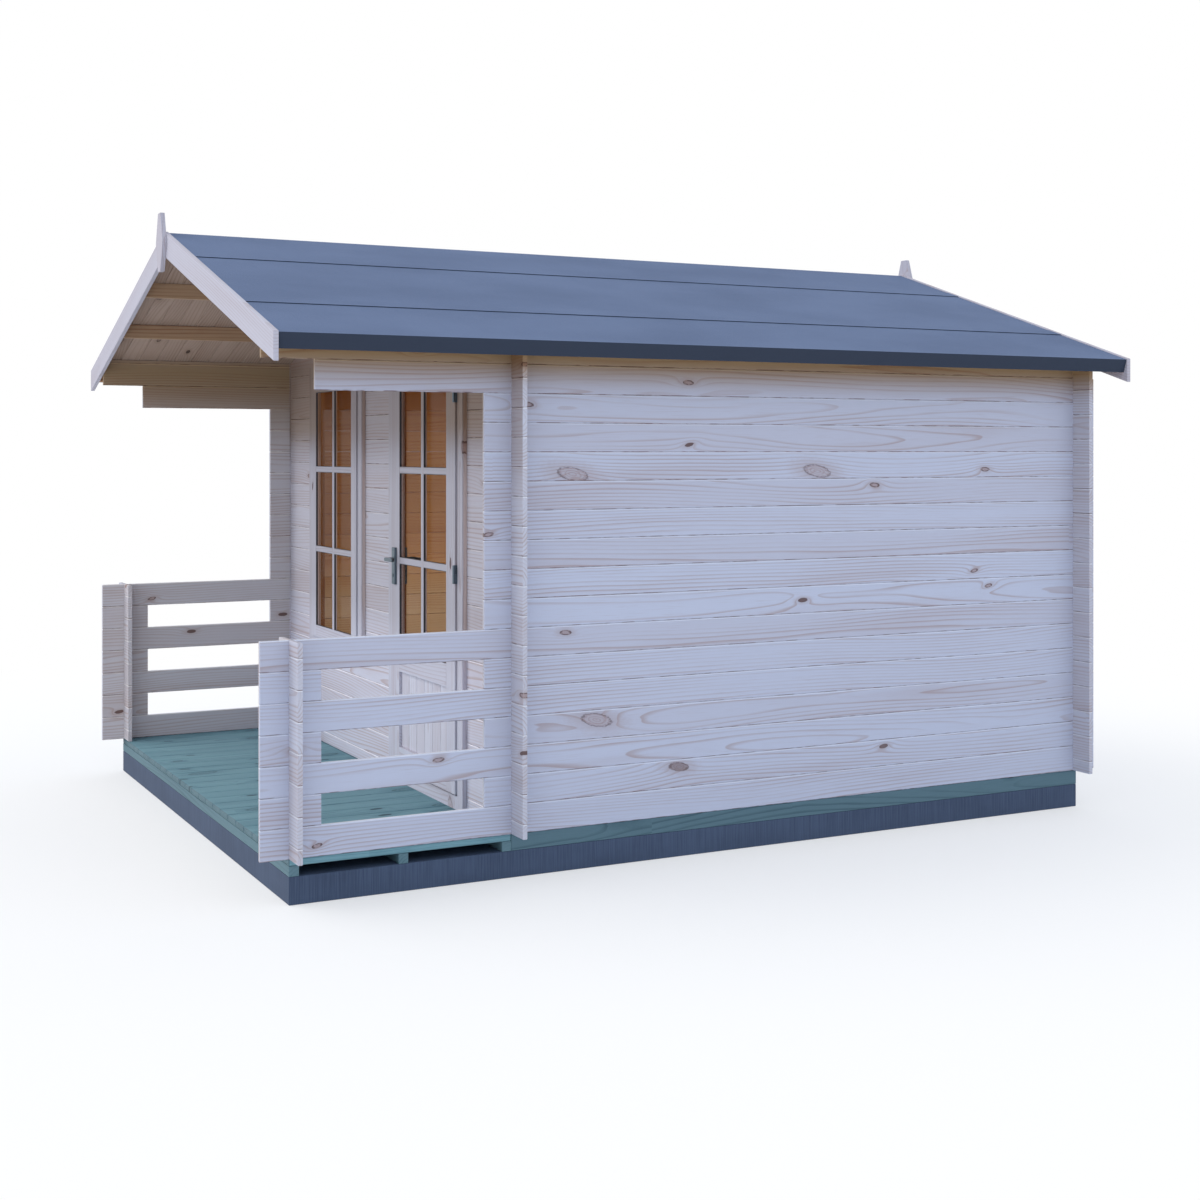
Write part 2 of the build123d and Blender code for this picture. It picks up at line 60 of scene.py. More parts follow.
def add_node(tree, kind, inputs=None, **settings):
    """A shader node, with each input set to a value or wired to another node's output."""
    node = tree.nodes.new("ShaderNode" + kind)
    for key, value in settings.items():
        setattr(node, key, value)
    for key, value in (inputs or {}).items():
        if isinstance(value, bpy.types.NodeSocket):
            tree.links.new(value, node.inputs[key])
        else:
            node.inputs[key].default_value = value
    return node


def calc(tree, operation, *terms):
    """A sum on numbers and sockets."""
    return add_node(tree, "Math", dict(enumerate(terms)), operation=operation).outputs[0]


def ramp(tree, value, start, end):
    """A soft step from 0 at start to 1 at end; start may be the larger of the two."""
    low, high = sorted((start, end))
    ends = {3: 0.0, 4: 1.0} if start < end else {3: 1.0, 4: 0.0}
    inputs = {0: value, 1: low, 2: high, **ends}
    return add_node(tree, "MapRange", inputs, interpolation_type="SMOOTHSTEP").outputs[0]


def tint(tree, share, first, second, mode="MIX"):
    """One colour laid over another by a share."""
    inputs = {0: share, 6: first, 7: second}
    return add_node(tree, "Mix", inputs, data_type="RGBA", blend_type=mode).outputs[2]


def stretched(tree, axes, scales, detail):
    """Noise of the given number of octaves, with its own scale along each of three values."""
    scaled = [calc(tree, "MULTIPLY", axis, scale) for axis, scale in zip(axes, scales)]
    vector = add_node(tree, "CombineXYZ", dict(enumerate(scaled))).outputs[0]
    return add_node(tree, "TexNoise", {"Vector": vector, "Scale": 1.0, "Detail": detail}).outputs["Fac"]


def raise_grain(tree, shader, height, depth):
    """Feed a height into the shader's normal, with the given depth in metres."""
    bump = add_node(tree, "Bump", {"Height": height, "Distance": depth, "Strength": 1.0})
    tree.links.new(bump.outputs[0], shader.inputs["Normal"])


def new_finish(name):
    """A new material, its node tree, its shader and the three object coordinates."""
    finish = bpy.data.materials.new(name)
    finish.use_nodes = True
    tree = finish.node_tree
    place = add_node(tree, "TexCoord").outputs["Object"]
    axes = add_node(tree, "SeparateXYZ", {0: place}).outputs
    return finish, tree, tree.nodes["Principled BSDF"], axes


def dress(finish, *nodes):
    """Give nodes of the frame their finish."""
    for node in nodes:
        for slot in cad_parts[node].material_slots:
            slot.material = finish


def ease_edges(width, *nodes):
    """Round the sharp edges of nodes of the frame by a small width."""
    for node in nodes:
        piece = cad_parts[node]
        weld = piece.modifiers.new("weld", "WELD")
        weld.merge_threshold = weld_reach
        bevel = piece.modifiers.new("eased", "BEVEL")
        bevel.width = width
        bevel.segments = 2
        bevel.limit_method = "ANGLE"


def brushed_coat():
    """Dark coat with upright brush streaks and a little cloudiness."""
    finish, tree, shader, axes = new_finish("plinth_coat")
    streak = stretched(tree, axes, coat_streaks, 3)
    cloud = calc(tree, "MULTIPLY", stretched(tree, axes, coat_clouds, 3), coat_cloud_share)
    share = calc(tree, "MULTIPLY_ADD", streak, coat_streak_share, cloud)
    colour = tint(tree, ramp(tree, share, *coat_step), plinth_streak, plinth_tone)
    tree.links.new(colour, shader.inputs["Base Color"])
    shader.inputs["Roughness"].default_value = coat_roughness
    raise_grain(tree, shader, streak, coat_depth)
    return finish


dress(brushed_coat(), "base_plinth")
ease_edges(plinth_edge, "base_plinth")


# Bearers and porch joists: square softwood under the walls and the deck, laid on the plinth.
# Pressure treatment has turned them blue-green.
treated_tones = {
    "pale": (0.185, 0.345, 0.395, 1),
    "line": (0.070, 0.180, 0.230, 1),
    "knot": (0.024, 0.070, 0.092, 1),
    "rim": (0.014, 0.038, 0.052, 1),
}
bearer_tones = dict(treated_tones, pale=(0.108, 0.190, 0.230, 1), line=(0.032, 0.076, 0.104, 1))
# The joists' tones are a darker copy of the treated tones: painted shade under the deck.
joist_shaded_tones = dict(treated_tones, pale=(0.125, 0.215, 0.250, 1), line=(0.047, 0.112, 0.145, 1))
treated_knots = (3.0, 0.65)
timber_depth = 0.2
timber_edge = 0.002
grain_shift = 41.0
fibre_scales = (9, 420, 60)
fibre_depth = 0.0004
wood_gloss = 0.3
pale_roughness = 0.70
line_roughness = 0.58


def between(tree, share, start, end):
    """A number that goes from start to end as a share goes from 0 to 1."""
    return calc(tree, "MULTIPLY_ADD", share, end - start, start)


def draw(tree, *key):
    """Four random numbers for a key of three values."""
    vector = add_node(tree, "CombineXYZ", dict(enumerate(key))).outputs[0]
    drawn = add_node(tree, "TexWhiteNoise", {"Vector": vector}, noise_dimensions="3D").outputs
    return drawn["Value"], *add_node(tree, "SeparateColor", {0: drawn["Color"]}).outputs


def laid_axes(tree, axes, grain, stack, stile, mirrored, rake):
    """Where a point lies along a piece, across its row and through it, and on which side of the cabin."""
    place = {"X": axes["X"], "Y": axes["Y"], "Z": axes["Z"]}
    side = 0.0
    if mirrored:
        side = calc(tree, "SIGN", axes["X"])
        place["X"] = calc(tree, "ABSOLUTE", axes["X"])
    if rake:
        level = calc(tree, "MULTIPLY", place["X"], math.cos(rake))
        sideways = calc(tree, "MULTIPLY", place["X"], math.sin(rake))
        place["X"] = calc(tree, "MULTIPLY_ADD", place["Z"], -math.sin(rake), level)
        place["Z"] = calc(tree, "MULTIPLY_ADD", place["Z"], math.cos(rake), sideways)
    run, rise = place[grain], place[stack]
    deep = place[({"X", "Y", "Z"} - {grain, stack}).pop()]
    if stile:
        middle, reach = stile
        off_centre = calc(tree, "ABSOLUTE", calc(tree, "SUBTRACT", run, middle))
        upright = calc(tree, "GREATER_THAN", off_centre, reach)
        run, rise = (
            add_node(tree, "Mix", {0: upright, 2: run, 3: rise}).outputs[0],
            add_node(tree, "Mix", {0: upright, 2: rise, 3: run}).outputs[0],
        )
    return run, rise, deep, side


knot_length_share = 2.6
knot_margin_share = 0.25
knot_play_share = 0.6
knot_row_limit = 0.12
knot_tilt = 1.2
knot_radius = 0.0075
knot_radius_play = 0.004
big_knot_growth = 0.015
big_knot_draws = (0.70, 0.78)
dead_knot_draws = (0.70, 0.72)
knot_wobble_scales = (60, 120, 120)
knot_wobble = (0.75, 1.25)


def nearest_knot(tree, spot, layer, key, pitch, knots):
    """The knot in a point's stretch of a piece: how far off it is in knot radii, and of what kind."""
    along, across, _ = spot
    per_metre, share = knots
    stretch = calc(tree, "MULTIPLY", along, per_metre)
    chance, run_draw, rise_draw, size_draw = draw(tree, calc(tree, "FLOOR", stretch), layer, key)
    middle = between(tree, run_draw, knot_margin_share, 1 - knot_margin_share)
    off_run = calc(tree, "SUBTRACT", calc(tree, "FRACT", stretch), middle)
    off_run = calc(tree, "DIVIDE", off_run, knot_length_share * per_metre)
    play = knot_play_share * min(pitch, knot_row_limit)
    off_rise = calc(tree, "SUBTRACT", across, between(tree, rise_draw, -play / 2, play / 2))
    tilt = between(tree, size_draw, -knot_tilt / 2, knot_tilt / 2)
    off_rise = calc(tree, "MULTIPLY_ADD", off_run, tilt, off_rise)
    off = add_node(tree, "CombineXYZ", {0: off_run, 1: off_rise}).outputs[0]
    distance = add_node(tree, "VectorMath", {0: off}, operation="LENGTH").outputs["Value"]
    big = ramp(tree, size_draw, *big_knot_draws)
    small_radius = calc(tree, "MULTIPLY_ADD", size_draw, knot_radius_play, knot_radius)
    spread = calc(tree, "DIVIDE", distance, calc(tree, "MULTIPLY_ADD", big, big_knot_growth, small_radius))
    wobble = stretched(tree, spot, knot_wobble_scales, 1)
    return {
        "spread": spread,
        "nearness": calc(tree, "MULTIPLY", spread, between(tree, wobble, *knot_wobble)),
        "wobble": wobble,
        "big": big,
        "present": calc(tree, "LESS_THAN", chance, share),
        "dead": ramp(tree, chance, *[limit * share for limit in dead_knot_draws]),
    }


heart_wander_scale = 0.38
heart_rise_play = 0.24
heart_rise_wander = 0.15
heart_deep_range = (0.035, 0.085)
heart_deep_wander = 0.07
swirl_scales = (0.9, 12, 12)
swirl_share = 2.0
knot_bend = 3.0
knot_bend_fall = -0.6
thinnest_line = 0.20
line_growth = 0.60
steepest_line = 0.6
line_front = (0.0, 0.15)
line_back = (1.0, 0.15)
patch_scales = (0.8, 10, 10)
patch_lines = (0.25, 0.65)


def year_rings(tree, spot, heart_draws, knot, rings, quartered):
    """Late wood of the rings round a wandering heart, bent round the knot, and patches where it is faint."""
    along, across, thick = spot
    rise_draw, deep_draw = heart_draws
    noise = {"W": along, "Scale": heart_wander_scale, "Detail": 1.0}
    wander = add_node(tree, "TexNoise", noise, noise_dimensions="1D").outputs["Color"]
    wander_rise, wander_deep, _ = add_node(tree, "SeparateColor", {0: wander}).outputs
    heart_rise = between(tree, rise_draw, -heart_rise_play / 2, heart_rise_play / 2)
    rise_off = calc(tree, "SUBTRACT", wander_rise, 0.5)
    heart_rise = calc(tree, "MULTIPLY_ADD", rise_off, heart_rise_wander, heart_rise)
    heart_deep = between(tree, deep_draw, *heart_deep_range)
    deep_off = calc(tree, "SUBTRACT", wander_deep, 0.5)
    heart_deep = calc(tree, "MULTIPLY_ADD", deep_off, heart_deep_wander, heart_deep)
    off_heart = calc(tree, "SUBTRACT", across, heart_rise)
    from_heart = {0: off_heart, 1: calc(tree, "ADD", thick, heart_deep)}
    radial = add_node(tree, "CombineXYZ", from_heart).outputs[0]
    ring = add_node(tree, "VectorMath", {0: radial}, operation="LENGTH").outputs["Value"]
    bend = calc(tree, "EXPONENT", calc(tree, "MULTIPLY", knot["spread"], knot_bend_fall))
    bend = calc(tree, "MULTIPLY", calc(tree, "MULTIPLY", bend, knot_bend), knot["present"])
    swirl = stretched(tree, spot, swirl_scales, 2)
    phase = calc(tree, "MULTIPLY_ADD", swirl, swirl_share, calc(tree, "DIVIDE", ring, rings))
    phase = calc(tree, "FRACT", calc(tree, "ADD", phase, bend))
    if quartered:
        width = thinnest_line + line_growth * steepest_line
    else:
        slope = calc(tree, "DIVIDE", calc(tree, "ABSOLUTE", off_heart), ring)
        slope = calc(tree, "MINIMUM", slope, steepest_line)
        width = calc(tree, "MULTIPLY_ADD", slope, line_growth, thinnest_line)
    inside = calc(tree, "DIVIDE", calc(tree, "SUBTRACT", 1.0, phase), width)
    late = calc(tree, "MULTIPLY", ramp(tree, inside, *line_back), ramp(tree, inside, *line_front))
    patches = stretched(tree, spot, patch_scales, 2)
    return calc(tree, "MULTIPLY", late, ramp(tree, patches, *patch_lines)), patches


piece_tone_share = 0.22
patch_step = (0.5, 0.85)
patch_share = 0.3
fibre_step = (0.5, 0.85)
fibre_share = 0.4


def clear_wood(tree, tones, figure, tone_draw, late, patches, fibre):
    """The colour of wood without knots: each piece a little darker or paler, with lines and fibres."""
    pale = tint(tree, calc(tree, "MULTIPLY", tone_draw, piece_tone_share), tones["pale"], tones["line"])
    dark_patch = calc(tree, "MULTIPLY", ramp(tree, patches, *patch_step), patch_share)
    pale = tint(tree, dark_patch, pale, tones["line"])
    colour = tint(tree, calc(tree, "MULTIPLY", late, figure), pale, tones["line"])
    streaks = calc(tree, "MULTIPLY", ramp(tree, fibre, *fibre_step), fibre_share * figure)
    return tint(tree, streaks, colour, tones["line"])


halo_edge = (2.8, 0.9)
halo_share = 0.4
knot_edge = (1.03, 0.9)
knot_fill = (0.42, 0.12)
knot_rings = 3.6
knot_ring_step = (0.55, 0.85)
knot_ring_share = 0.35
rim_start = (0.46, 0.80)
rim_step = (0.0, 0.7)
rim_edge = (1.10, 0.98)
rim_breaks = (0.25, 0.55)
rim_share = (0.8, 0.6)


def with_knot(tree, colour, tones, knot):
    """Wood with its knot: a soft halo, a body with rings of its own, and a broken dark rim."""
    nearness, big, present = knot["nearness"], knot["big"], knot["present"]
    halo = calc(tree, "MULTIPLY", ramp(tree, nearness, *halo_edge), present)
    colour = tint(tree, calc(tree, "MULTIPLY", halo, halo_share), colour, tones["line"])
    body = calc(tree, "MULTIPLY", ramp(tree, nearness, *knot_edge), present)
    fill = calc(tree, "MULTIPLY", body, between(tree, big, *knot_fill))
    colour = tint(tree, fill, colour, tones["knot"])
    growth = calc(tree, "FRACT", calc(tree, "MULTIPLY", nearness, knot_rings))
    growth = calc(tree, "MULTIPLY", ramp(tree, growth, *knot_ring_step), body)
    colour = tint(tree, calc(tree, "MULTIPLY", growth, knot_ring_share), colour, tones["knot"])
    start = between(tree, big, *rim_start)
    rim = calc(tree, "DIVIDE", calc(tree, "SUBTRACT", nearness, start), calc(tree, "SUBTRACT", 1.0, start))
    rim = calc(tree, "MULTIPLY", ramp(tree, rim, *rim_step), ramp(tree, nearness, *rim_edge))
    broken = calc(tree, "MULTIPLY", present, ramp(tree, knot["wobble"], *rim_breaks))
    dead = calc(tree, "MULTIPLY", knot["dead"], body)
    dead = calc(tree, "MULTIPLY", dead, calc(tree, "SUBTRACT", 1.0, big))
    rim = calc(tree, "MAXIMUM", calc(tree, "MULTIPLY", rim, broken), dead)
    return tint(tree, calc(tree, "MULTIPLY", rim, between(tree, big, *rim_share)), colour, tones["rim"])


dash_scales = (17, 3.7, 1.3)
dash_step = (0.42, 0.60)
dash_shares = (0.14, 0.72)
highlight_edge_shares = (1.2, 0.9)
highlight_share = 0.8


def with_seam(tree, colour, tones, spot, layer, pitch, seam, axes):
    """A log with the broken dark joint at its foot, and a painted highlight on its upper edge outdoors."""
    along, across, _ = spot
    width, lit_edge_share = seam
    dashes = ramp(tree, stretched(tree, (along, layer, layer), dash_scales, 2), *dash_step)
    joint = ramp(tree, across, width - pitch / 2, width / 2 - pitch / 2)
    joint = calc(tree, "MULTIPLY", joint, between(tree, dashes, *dash_shares))
    colour = tint(tree, joint, colour, tones["seam"])
    # Painted highlight: the upper edge of each log is lightened, except where it faces the room.
    painted_highlight = ramp(tree, across, *[pitch / 2 - reach * width for reach in highlight_edge_shares])
    painted_highlight = calc(tree, "MULTIPLY", painted_highlight, lit_edge_share(tree, axes))
    return tint(tree, calc(tree, "MULTIPLY", painted_highlight, highlight_share), colour, tones["painted_highlight"])


def pine(
    name, grain, stack, row, heart, tones, seed,
    stile=None, mirrored=False, rake=0.0, knots=(0.95, 0.38), rings=0.012, figure=0.75, quartered=False,
    seam=None, shade_and_shelter=None,
):
    """Sawn softwood: year rings round a wandering heart, fibres, and a knot now and then.

    grain and stack name the axes along a piece and across its row, row holds where the row starts
    and its pitch, and heart is the middle of the thickness. Beyond stile's reach from its middle the
    grain stands upright. mirrored draws new numbers on the far side, rake tilts the axes with the
    roof, knots holds stretches per metre and the share of them with a knot, rings is the width of a
    year's growth, figure how strongly it shows, quartered is for wood seen on its edge, seam holds
    the width of the dark joint between logs and what gives the share of their upper edges that get
    a painted highlight, and the last argument gives shares of the face with their tones: painted
    shade, painted light and the warmer wood of the room.
    """
    finish, tree, shader, axes = new_finish(name)
    run, rise, deep, side = laid_axes(tree, axes, grain, stack, stile, mirrored, rake)
    origin, pitch = row
    layer = calc(tree, "FLOOR", calc(tree, "DIVIDE", calc(tree, "SUBTRACT", rise, origin), pitch))
    shift, tone_draw, *heart_draws = draw(tree, layer, side, seed)
    along = calc(tree, "MULTIPLY_ADD", shift, grain_shift, run)
    centre = calc(tree, "MULTIPLY_ADD", calc(tree, "ADD", layer, 0.5), pitch, origin)
    spot = (along, calc(tree, "SUBTRACT", rise, centre), calc(tree, "SUBTRACT", deep, heart))
    knot = nearest_knot(tree, spot, layer, calc(tree, "ADD", side, seed), pitch, knots)
    late, patches = year_rings(tree, spot, heart_draws, knot, rings, quartered)
    fibre = stretched(tree, spot, fibre_scales, 2)
    colour = clear_wood(tree, tones, figure, tone_draw, late, patches, fibre)
    colour = with_knot(tree, colour, tones, knot)
    if seam:
        colour = with_seam(tree, colour, tones, spot, layer, pitch, seam, axes)
    # Tones laid over the wood by shares: the warmer wood of the room, painted shade and painted light.
    for covered, tone in shade_and_shelter(tree, axes) if shade_and_shelter else ():
        colour = tint(tree, covered, colour, tone, "MULTIPLY")
    tree.links.new(colour, shader.inputs["Base Color"])
    tree.links.new(between(tree, late, pale_roughness, line_roughness), shader.inputs["Roughness"])
    shader.inputs["Specular IOR Level"].default_value = wood_gloss
    raise_grain(tree, shader, fibre, fibre_depth)
    return finish


bearer_low, bearer_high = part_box("floor_bearers")
joist_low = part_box("porch_joists")[0]
bearer_finish = pine(
    "treated_bearers", "Y", "Z", (bearer_low.z, timber_depth), bearer_high.x, bearer_tones, 3.0,
    mirrored=True, knots=treated_knots,
)
joist_finish = pine(
    "treated_joists", "X", "Y", (joist_low.y, timber_depth), joist_low.z, joist_shaded_tones, 4.0,
    knots=treated_knots,
)
dress(bearer_finish, "floor_bearers")
dress(joist_finish, "porch_joists")
ease_edges(timber_edge, "floor_bearers", "porch_joists")


# Porch deck: treated boards from the front edge back to the wall, screwed down on the joists.
# They lie side by side with a narrow gap for the rain.
deck_board_count = 24
deck_gap = 0.003
deck_edge = 0.003
# Painted shade that darkens the boards' front ends.
deck_end_painted_shade = (0.680, 0.600, 0.600, 1)
deck_end_depth = 0.002


def one_board(low, high, edge, turn=(0, 0, 0)):
    """A board between two corners, turned about its own middle, with its edges planed off."""
    bpy.ops.object.select_all(action="DESELECT")
    middle = [(start + end) / 2 for start, end in zip(low, high)]
    size = [end - start for start, end in zip(low, high)]
    bpy.ops.mesh.primitive_cube_add(size=1, location=middle, rotation=turn, scale=size)
    board = bpy.context.object
    bpy.ops.object.transform_apply(location=True, rotation=True, scale=True)
    bpy.ops.object.mode_set(mode="EDIT")
    bpy.ops.mesh.select_all(action="SELECT")
    bpy.ops.mesh.bevel(offset=edge, segments=1, affect="EDGES")
    bpy.ops.object.mode_set(mode="OBJECT")
    return board


def pick(*pieces):
    """Select pieces only, the first of them active."""
    bpy.ops.object.select_all(action="DESELECT")
    for piece in pieces:
        piece.select_set(True)
    bpy.context.view_layer.objects.active = pieces[0]


def repeat(piece, count, step):
    """Lay copies of a piece side by side, joined in one mesh."""
    row = piece.modifiers.new("row", "ARRAY")
    row.count = count
    row.use_relative_offset = False
    row.use_constant_offset = True
    row.constant_offset_displace = step
    pick(piece)
    bpy.ops.object.modifier_apply(modifier=row.name)


def settle(piece, name, finish, body, slot, *nodes):
    """Name a finished piece, coat it, put it on its body and let it stand for the nodes it covers."""
    piece.name = name
    piece.data.name = name
    piece.data.materials.clear()
    piece.data.materials.append(finish)
    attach(piece, body)
    if nodes:
        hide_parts(*nodes)


def shaded_board_ends(tree, axes):
    """The share of the deck at the boards' front ends, with the painted shade laid on it."""
    ends = ramp(tree, axes["Y"], deck_low.y + 2 * deck_end_depth, deck_low.y + deck_end_depth)
    return ((ends, deck_end_painted_shade),)


deck_low, deck_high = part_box("porch_deck")
deck_pitch = (deck_high.x - deck_low.x) / deck_board_count
deck = one_board(
    (deck_low.x + deck_gap / 2, deck_low.y, deck_low.z),
    (deck_low.x + deck_pitch - deck_gap / 2, deck_high.y, deck_high.z), deck_edge,
)
repeat(deck, deck_board_count, (deck_pitch, 0, 0))
deck_finish = pine(
    "treated_deck", "Y", "X", (deck_low.x, deck_pitch), deck_low.z, treated_tones, 5.0,
    knots=treated_knots, figure=1.0, shade_and_shelter=shaded_board_ends,
)
settle(deck, "deck_boards", deck_finish, "cabin", "treated_timber", "porch_deck")


# Floor: planed boards laid across the bearers inside, with a fine joint between them.
# They have never seen the weather and are a warm brown.
floor_board_width = 0.094
floor_gap = 0.001
floor_edge = 0.0015
floor_tones = {
    "pale": (0.560, 0.370, 0.215, 1),
    "line": (0.350, 0.190, 0.090, 1),
    "knot": (0.170, 0.080, 0.035, 1),
    "rim": (0.060, 0.025, 0.012, 1),
}
floor_low, floor_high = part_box("floor_boards")
floor_count = round((floor_high.y - floor_low.y) / floor_board_width)
floor_pitch = (floor_high.y - floor_low.y) / floor_count
floor = one_board(
    (floor_low.x, floor_low.y + floor_gap / 2, floor_low.z),
    (floor_high.x, floor_low.y + floor_pitch - floor_gap / 2, floor_high.z), floor_edge,
)
repeat(floor, floor_count, (0, floor_pitch, 0))
floor_finish = pine("floor_pine", "X", "Y", (floor_low.y, floor_pitch), floor_low.z, floor_tones, 6.0)
settle(floor, "floor_planks", floor_finish, "cabin", "floor_timber", "floor_boards")


# Long walls: single planed logs laid edge on edge, their lower ones run on as the porch rails.
# Outside they have bleached to a cool pale grey and indoors they are still warm. Painted shade darkens them
# under the roofs, at the eaves and on the gable, and painted light brightens the rails and the foot of the
# walls.
log_pitch = 0.112
log_thickness = 0.019
log_seam = 0.0040
log_tones = {
    "pale": (0.518, 0.550, 0.675, 1),
    "line": (0.370, 0.292, 0.300, 1),
    "knot": (0.270, 0.165, 0.148, 1),
    "rim": (0.085, 0.045, 0.044, 1),
    "seam": (0.120, 0.060, 0.048, 1),
    # painted highlight for the logs' upper edges
    "painted_highlight": (0.740, 0.770, 0.870, 1),
}
# Most tones below are painted shade and painted light: warm shade under the porch roof, lighter rails and
# porch foot, shade high on the porch front and in the room, a lighter room foot, shade on the gable, at the
# eaves and on the log ends' tops. The indoor tone and the log end tone are the wood's own colour.
under_roof_painted_shade = (1.000, 0.915, 0.835, 1)
rail_painted_light = (1.120, 1.020, 0.880, 1)
porch_foot_painted_light = (1.360, 1.380, 1.420, 1)
porch_painted_shade = (0.740, 0.720, 0.710, 1)
porch_head_painted_shade = (0.740, 0.600, 0.450, 1)
room_top_painted_shade = (0.540, 0.390, 0.210, 1)
log_end_tone = (1.050, 1.010, 0.950, 1)
log_end_top_painted_shade = (0.760, 0.680, 0.630, 1)
gable_painted_shade = (0.860, 0.570, 0.380, 1)
indoor_tone = (0.970, 0.570, 0.205, 1)
room_foot_painted_light = (1.050, 1.400, 2.100, 1)
eave_painted_shade = (0.665, 0.430, 0.185, 1)
side_low, side_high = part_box("right_wall")
rear_low, rear_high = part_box("rear_wall")
front_low, front_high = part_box("front_wall_middle")
log_base = side_low.z
side_heart = side_high.x - log_thickness / 2
front_heart = (front_low.y + front_high.y) / 2
rear_heart = (rear_low.y + rear_high.y) / 2
porch_foot = (0.97, 0.66)
porch_shade = (1.45, 1.74)
porch_head = (1.58, 1.76)
porch_sides = (0.2, 1.0)
porch_middle_share = 0.4
room_top = (1.58, 2.03)
room_low = (1.05, 0.80)
log_end_top = (1.35, 1.75)
log_end_front = (0.0, -0.5)
gable_foot = (2.04, 2.22)
eave_top = (1.84, 1.99)
face_step = 0.004


def under_porch(tree, axes, front):
    """The front's shares by height with their tones: painted light at the foot, painted shade at the head.
    """
    to_side = ramp(tree, calc(tree, "ABSOLUTE", axes["X"]), *porch_sides)
    to_side = between(tree, to_side, porch_middle_share, 1.0)
    bands = (
        (ramp(tree, axes["Z"], *porch_foot), porch_foot_painted_light),
        (ramp(tree, axes["Z"], *porch_shade), porch_painted_shade),
        (calc(tree, "MULTIPLY", ramp(tree, axes["Z"], *porch_head), to_side), porch_head_painted_shade),
    )
    return [(calc(tree, "MULTIPLY", band, front), tone) for band, tone in bands]


def room_shares(tree, axes):
    """A log's shares between the side walls, before the rear wall's heart too, and behind the front's."""
    within_sides = ramp(tree, calc(tree, "ABSOLUTE", axes["X"]), side_heart, side_heart - face_step)
    before_rear = ramp(tree, axes["Y"], rear_heart, rear_heart - face_step)
    behind_front = ramp(tree, axes["Y"], front_heart, front_heart + face_step)
    return within_sides, calc(tree, "MULTIPLY", within_sides, before_rear), behind_front


def highlight_edges(tree, axes):
    """The share of a log whose upper edge gets a painted highlight: all but what faces the room."""
    _, under_roof, behind_front = room_shares(tree, axes)
    return calc(tree, "SUBTRACT", 1.0, calc(tree, "MULTIPLY", behind_front, under_roof))


def log_painted_light_and_room(tree, axes):
    """The shares of a log with their tones: the warmer wood indoors, painted shade and painted light."""
    x, y, z = axes
    aside = calc(tree, "ABSOLUTE", x)
    within_sides, under_roof, behind_front = room_shares(tree, axes)
    open_air = calc(tree, "SUBTRACT", 1.0, within_sides)
    past_wall = ramp(tree, aside, side_high.x, side_high.x + face_step)
    past_porch = ramp(tree, y, front_low.y - 2 * face_step, front_low.y - face_step)
    indoors = calc(tree, "MULTIPLY", behind_front, under_roof)
    below_gable = calc(tree, "MULTIPLY", ramp(tree, z, *gable_foot[::-1]), under_roof)
    front = calc(tree, "MULTIPLY", calc(tree, "SUBTRACT", past_porch, behind_front), below_gable)
    top = calc(tree, "MULTIPLY", ramp(tree, z, *room_top), calc(tree, "SUBTRACT", below_gable, front))
    gable = calc(tree, "MULTIPLY", ramp(tree, z, *gable_foot), under_roof)
    at_eaves = calc(tree, "MULTIPLY", ramp(tree, z, *eave_top), open_air)
    end_face = ramp(tree, aside, rear_high.x - face_step / 2, rear_high.x - face_step / 4)
    end_sides = calc(tree, "SUBTRACT", past_wall, end_face)
    end_sides = calc(tree, "MULTIPLY", end_sides, ramp(tree, y, *log_end_front))
    end_top = calc(tree, "MULTIPLY", ramp(tree, z, *log_end_top), end_sides)
    room_foot = calc(tree, "MULTIPLY", ramp(tree, z, *room_low), indoors)
    wall = calc(tree, "MULTIPLY", under_roof, past_porch)
    rails = calc(tree, "SUBTRACT", under_roof, wall)
    # All these shares but the indoor one and the log ends' own tone are painted shade and painted light.
    return (
        (wall, under_roof_painted_shade), (rails, rail_painted_light), *under_porch(tree, axes, front), (top, room_top_painted_shade),
        (gable, gable_painted_shade), (indoors, indoor_tone), (room_foot, room_foot_painted_light), (at_eaves, eave_painted_shade),
        (past_wall, log_end_tone), (end_top, log_end_top_painted_shade),
    )


long_wall_finish = pine(
    "long_wall_pine", "Y", "Z", (log_base, log_pitch), side_heart, log_tones, 1.0,
    mirrored=True, seam=(log_seam, highlight_edges), shade_and_shelter=log_painted_light_and_room,
)
dress(long_wall_finish, "right_wall", "left_wall", "right_rail_blocks", "left_rail_blocks")


# Cross walls: the same logs, half a course out of step, notched over and under the long walls.
# Front wall in four groups round its window and doorway, rear wall, gables and porch corners.
post_low, post_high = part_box("right_porch_corner")
cross_row = (log_base - log_pitch / 2, log_pitch)
front_nodes = [
    "front_wall_left", "front_wall_below_window", "front_wall_middle", "front_wall_right", "front_gable",
]
cross_walls = [
    ("front_wall_pine", front_heart, front_nodes),
    ("rear_wall_pine", rear_heart, ["rear_wall", "rear_gable"]),
    ("corner_pine", (post_low.y + post_high.y) / 2, ["right_porch_corner", "left_porch_corner"]),
]
for number, (name, heart, nodes) in enumerate(cross_walls):
    cross_finish = pine(
        name, "X", "Z", cross_row, heart, log_tones, 11.0 + number,
        seam=(log_seam, highlight_edges), shade_and_shelter=log_painted_light_and_room,
    )
    dress(cross_finish, *nodes)


